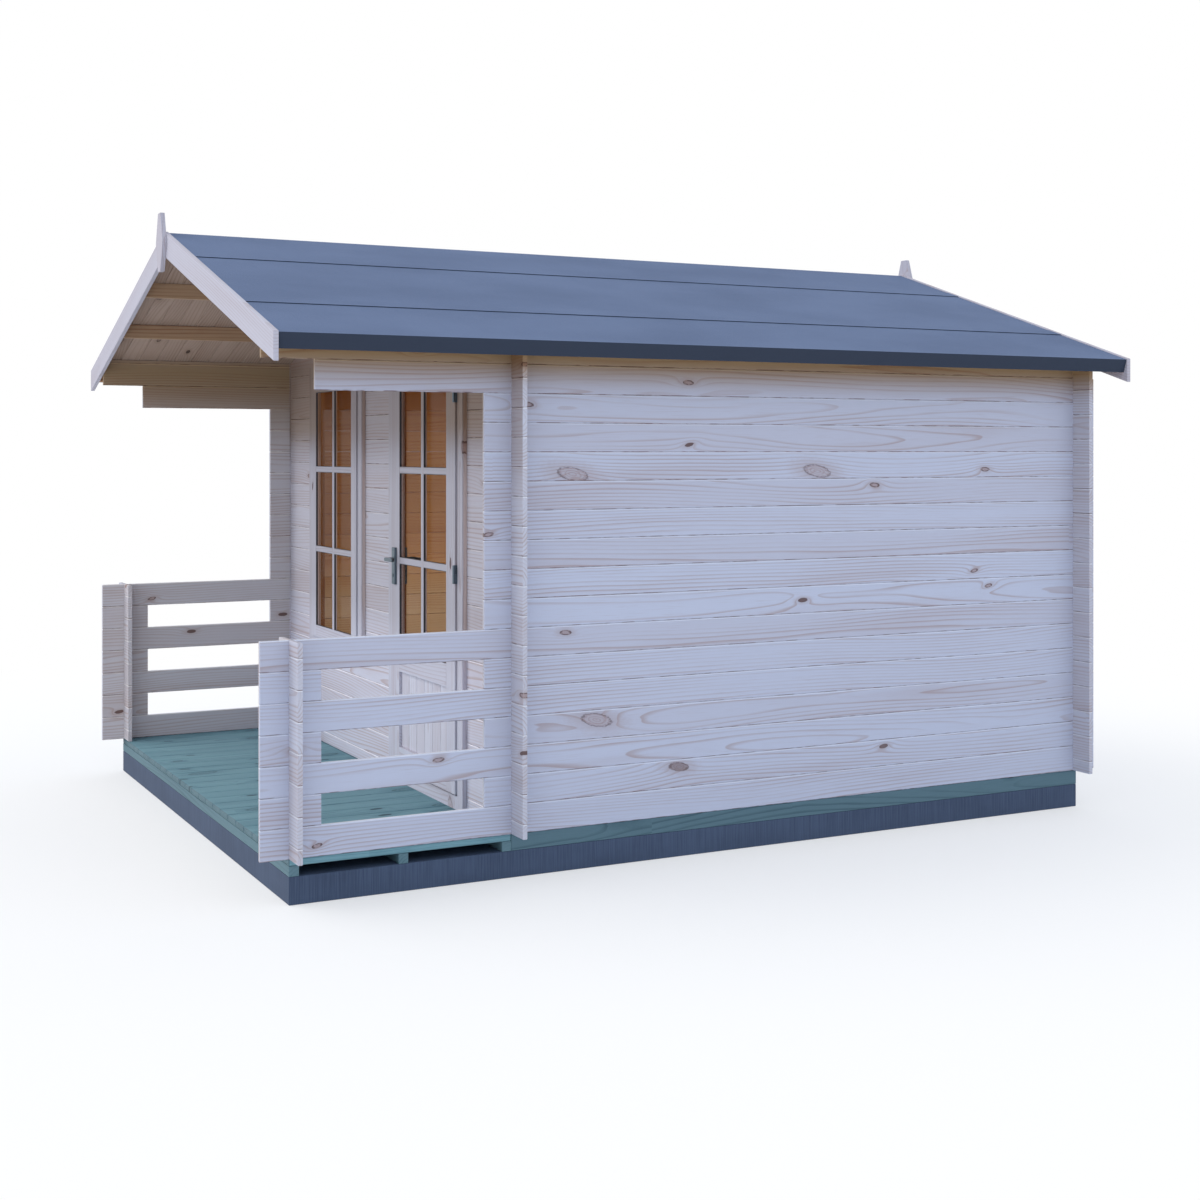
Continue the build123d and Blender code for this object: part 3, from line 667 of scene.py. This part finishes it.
# Roof timber: purlins let into the gables, and boards nailed across them down each slope.
# Both are planed softwood that the roof has kept warm in colour.
roof_pitch = math.radians(17.75)
purlin_spacing = 0.487
purlin_rings = 0.016
roof_board_width = 0.088
roof_board_gap = 0.0008
roof_board_edge = 0.0025
roof_tones = {
    "pale": (0.390, 0.285, 0.225, 1),
    "line": (0.235, 0.150, 0.105, 1),
    "knot": (0.110, 0.058, 0.038, 1),
    "rim": (0.036, 0.018, 0.013, 1),
}
roof_knots = (1.6, 0.5)
purlin_tones = {
    "pale": (0.450, 0.305, 0.190, 1),
    "line": (0.255, 0.125, 0.065, 1),
    "knot": (0.170, 0.070, 0.038, 1),
    "rim": (0.060, 0.024, 0.014, 1),
}
purlin_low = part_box("roof_purlins")[0]
purlin_finish = pine(
    "purlin_pine", "Y", "X", (-2.5 * purlin_spacing, purlin_spacing), purlin_low.z, purlin_tones, 21.0,
    knots=roof_knots, rings=purlin_rings, figure=0.9, quartered=True,
)
dress(purlin_finish, "roof_purlins")


def roof_slope(side, node):
    """The boards of one slope: side is 1 on the right and -1 on the left."""
    low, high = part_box(node)
    ridge_x = min(abs(low.x), abs(high.x))
    eave_x = max(abs(low.x), abs(high.x))
    length = eave_x / math.cos(roof_pitch)
    thickness = (high.z - low.z - (eave_x - ridge_x) * math.tan(roof_pitch)) * math.cos(roof_pitch)
    count = round((high.y - low.y) / roof_board_width)
    pitch = (high.y - low.y) / count
    past_ridge = 2 * thickness
    middle_along = (length - past_ridge) / 2
    middle_x = middle_along * math.cos(roof_pitch) - thickness / 2 * math.sin(roof_pitch)
    ridge_z = high.z + ridge_x * math.tan(roof_pitch)
    middle_z = ridge_z - middle_along * math.sin(roof_pitch) - thickness / 2 * math.cos(roof_pitch)
    middle_y = low.y + (pitch - roof_board_gap) / 2
    half = ((length + past_ridge) / 2, (pitch - roof_board_gap) / 2, thickness / 2)
    middle = (side * middle_x, middle_y, middle_z)
    start = [place - reach for place, reach in zip(middle, half)]
    end = [place + reach for place, reach in zip(middle, half)]
    board = one_board(start, end, roof_board_edge, (0, side * roof_pitch, 0))
    bpy.ops.object.mode_set(mode="EDIT")
    bpy.ops.mesh.select_all(action="SELECT")
    bpy.ops.mesh.bisect(
        plane_co=(side * ridge_x, 0, 0), plane_no=(-side, 0, 0), use_fill=True, clear_outer=True
    )
    bpy.ops.object.mode_set(mode="OBJECT")
    repeat(board, count, (0, pitch, 0))
    finish = pine(
        node + "_pine", "X", "Y", (low.y, pitch), ridge_z * math.cos(roof_pitch), roof_tones, 23.0,
        mirrored=True, rake=roof_pitch, knots=roof_knots,
    )
    settle(board, node + "_laid", finish, "cabin", "roof_timber", node)


roof_slope(1, "roof_boards_right")
roof_slope(-1, "roof_boards_left")
batten_tones = dict(roof_tones, pale=(0.560, 0.305, 0.155, 1), line=(0.330, 0.165, 0.075, 1))
batten_low, batten_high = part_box("eave_battens")
batten_finish = pine(
    "batten_pine", "Y", "Z", (batten_low.z, timber_depth), batten_high.x, batten_tones, 25.0, mirrored=True
)
dress(batten_finish, "eave_battens")


# Roof felt: bitumen felt faced with slate-blue grit, in strips that lap down each slope.
# The lowest strip turns down over the eave, where painted shade darkens it.
felt_tone = (0.140, 0.188, 0.306, 1)
felt_grit = (0.098, 0.136, 0.232, 1)
felt_drop_shade = (0.035, 0.046, 0.073, 1)
felt_roughness = 0.88
felt_gloss = 0.25
felt_depth = 0.0012
grit_scales = (900, 900, 900)
grit_share = 0.6
grit_step = (0.36, 0.62)
grit_height = 0.8
felt_cloud_scales = (2.5, 1.4, 2.5)
felt_cloud_share = 0.4
felt_cloud_height = 1.5
rub_scales = (6, 55, 6)
rub_step = (0.55, 0.8)
rub_share = 0.18
rub_height = 0.6
drop_shade_facing = (0.6, 0.8)


def gritty_felt():
    """Felt with fine grit, broad cloudiness and painted shade on the turned-down edge."""
    finish, tree, shader, axes = new_finish("slate_felt")
    grit = stretched(tree, axes, grit_scales, 2)
    cloud = stretched(tree, axes, felt_cloud_scales, 4)
    rub = stretched(tree, axes, rub_scales, 2)
    share = calc(tree, "MULTIPLY_ADD", grit, grit_share, calc(tree, "MULTIPLY", cloud, felt_cloud_share))
    colour = tint(tree, ramp(tree, share, *grit_step), felt_grit, felt_tone)
    colour = tint(tree, calc(tree, "MULTIPLY", ramp(tree, rub, *rub_step), rub_share), colour, felt_grit)
    facing = add_node(tree, "SeparateXYZ", {0: add_node(tree, "NewGeometry").outputs["True Normal"]}).outputs
    # Painted shade: faces that turn down to the sides are darkened.
    drop_shade = ramp(tree, calc(tree, "ABSOLUTE", facing["X"]), *drop_shade_facing)
    colour = tint(tree, drop_shade, colour, felt_drop_shade)
    tree.links.new(colour, shader.inputs["Base Color"])
    shader.inputs["Roughness"].default_value = felt_roughness
    shader.inputs["Specular IOR Level"].default_value = felt_gloss
    height = calc(tree, "MULTIPLY_ADD", grit, grit_height, calc(tree, "MULTIPLY", cloud, felt_cloud_height))
    raise_grain(tree, shader, calc(tree, "MULTIPLY_ADD", rub, rub_height, height), felt_depth)
    return finish


dress(gritty_felt(), "felt_right", "felt_left", "felt_ridge")


# Barge boards and finials: planed boards nailed over the ends of the roof, with a pointed
# board over their joint at the ridge. They are out in the weather and have bleached.
trim_tones = dict(log_tones, pale=(0.510, 0.495, 0.560, 1), line=(0.390, 0.325, 0.345, 1))
trim_edge = 0.002
barge_row = (0.0, 6.0)
finial_row = (-0.5, 1.0)
for number, end in enumerate(("front", "rear")):
    barge_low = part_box(end + "_barge_boards")[0]
    finial_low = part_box(end + "_finial")[0]
    barge_finish = pine(
        end + "_barge_pine", "X", "Z", barge_row, barge_low.y, trim_tones, 31.0 + number,
        mirrored=True, rake=roof_pitch,
    )
    finial_finish = pine(
        end + "_finial_pine", "Z", "X", finial_row, finial_low.y, trim_tones, 33.0 + number
    )
    dress(barge_finish, end + "_barge_boards")
    dress(finial_finish, end + "_finial")
    ease_edges(trim_edge, end + "_barge_boards", end + "_finial")


# Window: a frame that grips the log ends, and in it a sash with a pane of clear glass in a rebate.
# Bars planted on the pane's outer face part it in six, and a dark seal lines each light.
joinery_tones = dict(log_tones, pale=(0.475, 0.462, 0.515, 1), line=(0.350, 0.292, 0.312, 1))
joinery_edge = 0.0015
stile_width = 0.0921
joinery_rings = 0.013
# Painted light for the joinery's side faces and reveals.
joinery_edge_painted_light = (1.330, 1.150, 0.970, 1)
joinery_room_tone = (0.800, 0.410, 0.130, 1)
glass_tone = (0.05, 0.06, 0.065, 1)
glass_cover_share = 0.10
glass_roughness = (0.01, 0.04)
smear_scales = (5, 5, 2)
seal_tones = ((0.020, 0.022, 0.028, 1), (0.060, 0.062, 0.070, 1))
seal_dull_scales = (30, 30, 30)
seal_roughness = 0.6
glass_cover = 0.0277
pane_columns = 2
pane_rows = 3
bar_width = 0.028
bar_height = 0.027
bar_set_back = 0.0015
seal_width = 0.0025
seal_depth = 0.007
bed_gap = 0.0002


def clear_glass():
    """Clear glass that lets the light in, with faint smears on it."""
    finish, tree, shader, axes = new_finish("clear_glass")
    smear = stretched(tree, axes, smear_scales, 2)
    tree.links.new(between(tree, smear, *glass_roughness), shader.inputs["Roughness"])
    shader.inputs["Base Color"].default_value = glass_tone
    shader.inputs["Alpha"].default_value = glass_cover_share
    return finish


def dark_seal():
    """Dark rubber, dulled here and there."""
    finish, tree, shader, axes = new_finish("dark_seal")
    dull = stretched(tree, axes, seal_dull_scales, 2)
    tree.links.new(tint(tree, dull, *seal_tones), shader.inputs["Base Color"])
    shader.inputs["Roughness"].default_value = seal_roughness
    return finish


def one_seal(low, high):
    """The seal round one light: a thin frame as deep as the gap between two corners."""
    bpy.ops.object.select_all(action="DESELECT")
    middle = ((low[0] + high[0]) / 2, low[1], (low[2] + high[2]) / 2)
    bpy.ops.mesh.primitive_plane_add(size=1, location=middle, rotation=(math.radians(90), 0, 0))
    seal = bpy.context.object
    seal.scale = (high[0] - low[0], high[2] - low[2], 1)
    bpy.ops.object.transform_apply(location=True, rotation=True, scale=True)
    bpy.ops.object.mode_set(mode="EDIT")
    bpy.ops.mesh.select_all(action="SELECT")
    bpy.ops.mesh.inset(thickness=seal_width)
    bpy.ops.mesh.delete(type="FACE")
    bpy.ops.mesh.select_all(action="SELECT")
    bpy.ops.mesh.extrude_region_move(TRANSFORM_OT_translate={"value": (0, high[1] - low[1], 0)})
    bpy.ops.mesh.select_all(action="SELECT")
    bpy.ops.mesh.normals_make_consistent(inside=False)
    bpy.ops.object.mode_set(mode="OBJECT")
    return seal


def glaze(name, glass, holder, body, seed, rows):
    """Bars on the outer face of a pane, and a seal round each of its lights: rows holds their heights."""
    low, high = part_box(glass)
    front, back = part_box(holder)[0].y + bar_set_back, low.y - bed_gap
    left = low.x + glass_cover
    wide = (high.x - low.x - 2 * glass_cover - (pane_columns - 1) * bar_width) / pane_columns
    step = (wide + bar_width, 0, 0)
    upright = one_board(
        (left + wide, front, low.z + glass_cover),
        (left + wide + bar_width, back, high.z - glass_cover), joinery_edge,
    )
    repeat(upright, pane_columns - 1, step)
    levels = []
    seals = []
    seal_front = front + joinery_edge
    bottom = low.z + glass_cover
    for tall in rows:
        seal = one_seal((left, seal_front, bottom), (left + wide, seal_front + seal_depth, bottom + tall))
        repeat(seal, pane_columns, step)
        seals.append(seal)
        bottom += tall + bar_height
        if len(seals) < len(rows):
            level = one_board((left, front, bottom - bar_height), (left + wide, back, bottom), joinery_edge)
            repeat(level, pane_columns, step)
            levels.append(level)
    for pieces in (levels, seals):
        pick(*pieces)
        bpy.ops.object.join()
    upright_finish = pine(
        name + "_upright_pine", "Z", "X", (left, stile_width), front, joinery_tones, seed,
        rings=joinery_rings, shade_and_shelter=joinery_light_and_room,
    )
    level_finish = pine(
        name + "_level_pine", "X", "Z", (left, stile_width), front, joinery_tones, seed + 1,
        rings=joinery_rings, shade_and_shelter=joinery_light_and_room,
    )
    settle(upright, name + "_bars_upright", upright_finish, body, "planed_timber")
    settle(levels[0], name + "_bars_level", level_finish, body, "planed_timber")
    settle(seals[0], name + "_seals", seal_finish, body, "planed_timber")


def light_rows(glass, lift):
    """The heights of the lights in a pane from below, its bars raised a little above even spacing."""
    low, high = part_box(glass)
    tall = (high.z - low.z - 2 * glass_cover - (pane_rows - 1) * bar_height) / pane_rows
    return [tall + lift, *[tall] * (pane_rows - 2), tall - lift]


def joinery_light_and_room(tree, axes):
    """The shares of the joinery with their tones: painted light and shade up the porch front, painted light
    on its edges, and the warmer wood indoors.
    """
    frame_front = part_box("window_frame")[0].y
    indoors = ramp(tree, axes["Y"], front_heart - face_step, front_heart)
    outdoors = calc(tree, "SUBTRACT", 1.0, indoors)
    # Painted light on the joinery's faces behind its front, above the foot of the porch.
    edges = ramp(tree, axes["Y"], frame_front + face_step / 2, frame_front + 1.5 * face_step)
    edges = calc(tree, "MULTIPLY", edges, ramp(tree, axes["Z"], *porch_foot[::-1]))
    edges = calc(tree, "MULTIPLY", edges, outdoors)
    return (
        *under_porch(tree, axes, outdoors), (edges, joinery_edge_painted_light), (indoors, joinery_room_tone),
    )


def joinery_pine(name, glass, seed):
    """Planed softwood for a frame and its sash or leaf, upright beside the glass."""
    low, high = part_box(glass)
    stile = ((low.x + high.x) / 2, (high.x - low.x) / 2 - glass_cover)
    row = (low.x + glass_cover, stile_width)
    return pine(
        name, "X", "Z", row, front_heart, joinery_tones, seed,
        stile=stile, rings=joinery_rings, shade_and_shelter=joinery_light_and_room,
    )


glass_finish = clear_glass()
seal_finish = dark_seal()
dress(joinery_pine("window_pine", "window_glass", 41.0), "window_sash", "window_frame")
ease_edges(joinery_edge, "window_sash", "window_frame")
dress(glass_finish, "window_glass")
glaze("window", "window_glass", "window_sash", "cabin", 43.0, light_rows("window_glass", 0))


# Door: a frame and sill like the window's, and a half-glazed leaf that opens outwards.
# Its lower panel is of narrow upright boards, set between the stiles and rails.
panel_board_count = 6
panel_gap = 0.0006
panel_edge = 0.0025
# The panel's tones are a paler copy of the joinery's: painted light on the lower leaf.
panel_lit_tones = dict(joinery_tones, pale=(0.700, 0.685, 0.775, 1), line=(0.500, 0.425, 0.460, 1))
door_bar_lift = 0.009
dress(joinery_pine("door_pine", "door_glass", 51.0), "door_leaf", "door_frame")
ease_edges(joinery_edge, "door_leaf", "door_frame")
dress(glass_finish, "door_glass")
glaze("door", "door_glass", "door_leaf", "door", 53.0, light_rows("door_glass", door_bar_lift))
panel_low, panel_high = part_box("door_panel")
panel_pitch = (panel_high.x - panel_low.x) / panel_board_count
panel = one_board(
    panel_low, (panel_low.x + panel_pitch - panel_gap, panel_high.y, panel_high.z), panel_edge
)
repeat(panel, panel_board_count, (panel_pitch, 0, 0))


def panel_inside(tree, axes):
    """The share of the panel that faces the room, with its tone."""
    middle = (panel_low.y + panel_high.y) / 2
    return ((ramp(tree, axes["Y"], middle, middle + face_step), indoor_tone),)


panel_finish = pine(
    "panel_pine", "Z", "X", (panel_low.x, panel_pitch), panel_low.y, panel_lit_tones, 55.0,
    rings=joinery_rings, shade_and_shelter=panel_inside,
)
settle(panel, "door_panel_boards", panel_finish, "door", "planed_timber", "door_panel")


# Lever handle: a flat steel lever on each face of the leaf, on one spindle through both plates.
# Each plate has two screws and the barrel of the lock; everything is satin steel.
steel_tones = ((0.090, 0.125, 0.158, 1), (0.180, 0.230, 0.272, 1))
steel_edge = 0.0015
steel_roughness = (0.32, 0.47)
steel_metal = 0.85
brushing_scales = (1800, 1800, 40)
screw_radius = 0.0034
screw_height = 0.0009
plate_margin = 0.012
barrel_radius = 0.0085
barrel_height = 0.002
barrel_below_lever = 0.072
head_sides = 16
head_smoothing = math.radians(40)


def satin_steel():
    """Satin steel with a fine upright brushing."""
    finish, tree, shader, axes = new_finish("satin_steel")
    brushing = stretched(tree, axes, brushing_scales, 2)
    tree.links.new(tint(tree, brushing, *steel_tones), shader.inputs["Base Color"])
    tree.links.new(between(tree, brushing, *steel_roughness), shader.inputs["Roughness"])
    shader.inputs["Metallic"].default_value = steel_metal
    return finish


def disc(x, face, z, side, radius):
    """A round plate on a face that looks along side times Y, open in edit mode and selected."""
    bpy.ops.object.select_all(action="DESELECT")
    bpy.ops.mesh.primitive_circle_add(
        vertices=head_sides, radius=radius, fill_type="NGON",
        location=(x, face, z), rotation=(-side * math.radians(90), 0, 0),
    )
    bpy.ops.object.transform_apply(location=True, rotation=True, scale=True)
    bpy.ops.object.mode_set(mode="EDIT")
    bpy.ops.mesh.select_all(action="SELECT")
    return bpy.context.object


def push(step):
    """Extrude the selected face by a step."""
    bpy.ops.mesh.extrude_region_move(TRANSFORM_OT_translate={"value": step})


def close_up():
    """Turn all faces outwards, leave edit mode and smooth what is round."""
    bpy.ops.mesh.select_all(action="SELECT")
    bpy.ops.mesh.normals_make_consistent(inside=False)
    bpy.ops.object.mode_set(mode="OBJECT")
    bpy.ops.object.shade_smooth_by_angle(angle=head_smoothing)


def one_head(x, face, z, side, radius, height):
    """The round head of a screw or a lock barrel, with a recess in its middle."""
    head = disc(x, face, z, side, radius)
    push((0, side * height, 0))
    bpy.ops.mesh.inset(thickness=radius / 2)
    push((0, -side * height / 2, 0))
    close_up()
    return head


steel_finish = satin_steel()
dress(steel_finish, "handle_plates", "lever_handle")
ease_edges(steel_edge, "handle_plates", "lever_handle")
plate_low, plate_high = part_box("handle_plates")
lever_low, lever_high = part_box("lever_handle")
lever_x = (plate_low.x + plate_high.x) / 2
lever_z = (lever_low.z + lever_high.z) / 2
heads = []
for side, plate in ((-1, plate_low.y), (1, plate_high.y)):
    for z in (plate_low.z + plate_margin, plate_high.z - plate_margin):
        heads.append(one_head(lever_x, plate, z, side, screw_radius, screw_height))
    heads.append(one_head(lever_x, plate, lever_z - barrel_below_lever, side, barrel_radius, barrel_height))
pick(*heads)
bpy.ops.object.join()
settle(heads[0], "plate_screws_and_locks", steel_finish, "door", "steel_fittings")


# Hinges: three butt hinges of the same steel, their plates let in between leaf and frame.
# Only the barrels show, the upper halves on the leaf and the lower halves on the frame.
dress(steel_finish, "door_hinges_frame_side", "door_hinges_leaf_side")


# Studio: a wide pale floor, a bright sky all round and one broad soft light from the front left.
# Two lamps indoors, not seen themselves, stand for the light that gets into the room.
ground_size = 60.0
ground_drop = 0.001
ground_white = (0.9, 0.9, 0.9, 1)
ground_roughness = 0.9
ground_fade = (2.0, 6.0)
ground_glow_shares = (0.5, 1.0)
sky_fill = (0.86, 0.94, 1.06, 1)
plain_white = (1, 1, 1, 1)
key_place = (-4, -8, 6)
key_turn = (52, 0, -38)
key_strength = 1.1
key_spread = math.radians(50)
key_colour = (1.0, 0.95, 0.88)
room_lamp_place = (0, 0.6, 1.75)
room_lamp_watts = 33
room_lamp_colour = (1.0, 0.85, 0.70)
room_lamp_size = 0.4
low_lamp_place = (0.9, 0.3, 1.9)
low_lamp_turn = (59.8, 0, 105.7)
low_lamp_watts = 110
low_lamp_colour = (1.0, 0.97, 0.93)
low_lamp_size = 0.3
low_lamp_cone = math.radians(34)
bpy.ops.object.select_all(action="DESELECT")
bpy.ops.mesh.primitive_plane_add(size=ground_size, location=(0, 0, -ground_drop))
ground = bpy.context.object
ground.name = "studio_floor"
bpy.ops.object.transform_apply(location=True, rotation=True, scale=True)


def seen_directly(tree):
    """1 for rays that show the background itself or its reflection, 0 for rays that carry light."""
    path = add_node(tree, "LightPath").outputs
    seen = calc(tree, "MAXIMUM", path["Is Camera Ray"], path["Is Glossy Ray"])
    return calc(tree, "MAXIMUM", seen, path["Is Transmission Ray"])


def pale_floor():
    """A matt pale floor that keeps the shadow near the cabin and fades to white away from it."""
    finish, tree, shader, axes = new_finish("pale_floor")
    shader.inputs["Base Color"].default_value = ground_white
    shader.inputs["Roughness"].default_value = ground_roughness
    flat = add_node(tree, "CombineXYZ", {0: axes["X"], 1: axes["Y"]}).outputs[0]
    away = add_node(tree, "VectorMath", {0: flat}, operation="LENGTH").outputs["Value"]
    fade = between(tree, ramp(tree, away, *ground_fade), *ground_glow_shares)
    glow = add_node(tree, "Emission", {"Color": plain_white, "Strength": 1.0}).outputs[0]
    share = calc(tree, "MULTIPLY", fade, seen_directly(tree))
    mixed = add_node(tree, "MixShader", {0: share, 1: shader.outputs[0], 2: glow}).outputs[0]
    tree.links.new(mixed, tree.nodes["Material Output"].inputs["Surface"])
    return finish


def add_lamp(kind, name, place, turn, power, colour):
    """A lamp of a kind, turned by angles in degrees."""
    angles = [math.radians(angle) for angle in turn]
    bpy.ops.object.light_add(type=kind, location=place, rotation=angles)
    lamp = bpy.context.object
    lamp.name = name
    lamp.data.energy = power
    lamp.data.color = colour
    return lamp


def hide_lamp(lamp, size):
    """Soften a lamp indoors, and keep the lamp itself out of the picture and of reflections."""
    lamp.data.shadow_soft_size = size
    lamp.visible_camera = False
    lamp.visible_glossy = False


ground.data.materials.append(pale_floor())
world = bpy.data.worlds.new("studio")
bpy.context.scene.world = world
world.use_nodes = True
sky = world.node_tree
background = sky.nodes["Background"]
sky.links.new(tint(sky, seen_directly(sky), sky_fill, plain_white), background.inputs["Color"])
background.inputs["Strength"].default_value = 1.0
key_light = add_lamp("SUN", "key_light", key_place, key_turn, key_strength, key_colour)
key_light.data.angle = key_spread
room_lamp = add_lamp(
    "POINT", "room_light", room_lamp_place, (0, 0, 0), room_lamp_watts, room_lamp_colour
)
hide_lamp(room_lamp, room_lamp_size)
low_lamp = add_lamp(
    "SPOT", "low_room_light", low_lamp_place, low_lamp_turn, low_lamp_watts, low_lamp_colour
)
low_lamp.data.spot_size = low_lamp_cone
low_lamp.data.spot_blend = 1.0
hide_lamp(low_lamp, low_lamp_size)


# Camera: the photograph's viewpoint, at eye height off the right front corner, held level.
# The frame is shifted down instead of tilting the camera, so uprights stay upright.
photo_width = 1200
focal_pixels = 1687.17
horizon_row = 450.57
sensor_width = 36.0
camera_place = (7.3029, -3.6198, 1.6267)
camera_turn = (math.radians(90), 0, math.radians(62.7677))
bpy.ops.object.camera_add(location=camera_place, rotation=camera_turn)
camera = bpy.context.object
camera.name = "photo_camera"
camera.data.sensor_width = sensor_width
camera.data.lens = sensor_width * focal_pixels / photo_width
camera.data.shift_y = (horizon_row - photo_width / 2) / photo_width
bpy.context.scene.camera = camera
bpy.context.scene.view_settings.view_transform = "Standard"
